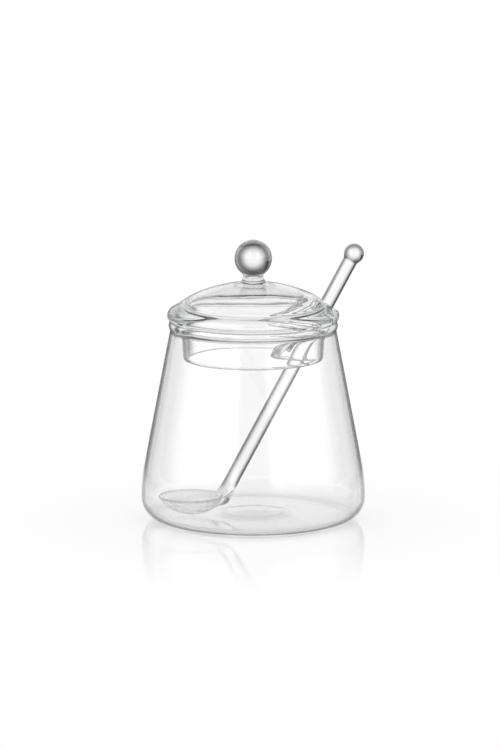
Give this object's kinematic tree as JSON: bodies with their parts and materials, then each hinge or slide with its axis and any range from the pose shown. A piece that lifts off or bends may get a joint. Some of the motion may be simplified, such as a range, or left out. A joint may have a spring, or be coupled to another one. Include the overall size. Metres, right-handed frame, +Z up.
{
  "type": "jam pot",
  "caption": "Clear glass jam pot with a cone side and rounded heel, a domed lid with ball knob and spoon notch, and a ladle spoon that leans in the notch.",
  "frame": {"origin": "on the pot's axis, in the plane of its foot", "axes": "+Z up along the pot's axis; +X towards the side to which the spoon leans"},
  "size_m": [0.0903, 0.09, 0.1131],
  "materials": {
    "pot_glass": "clear blown borosilicate, fire-polished",
    "lid_glass": "clear pressed and lamp-worked borosilicate, fire-polished",
    "spoon_glass": "clear solid borosilicate rod, fire-polished"
  },
  "bodies": {
    "pot": {"pot": "pot_glass"},
    "lid": {"lid_dome": "lid_glass", "lid_collar": "lid_glass", "lid_knob": "lid_glass"},
    "spoon": {"spoon_handle": "spoon_glass", "spoon_bowl": "spoon_glass"}
  },
  "joints": [
    {"name": "lid_lift", "type": "slide", "parent": "pot", "child": "lid", "axis": [0, 0, 1], "range_m": [0, 0.1]},
    {"name": "spoon_draw", "type": "slide", "parent": "pot", "child": "spoon", "axis": [0.4847, 0, 0.8747], "range_m": [0, 0.1]}
  ],
  "couplings": [
    {"joint": "spoon_draw", "follows": "lid_lift", "ratio": 1}
  ]
}
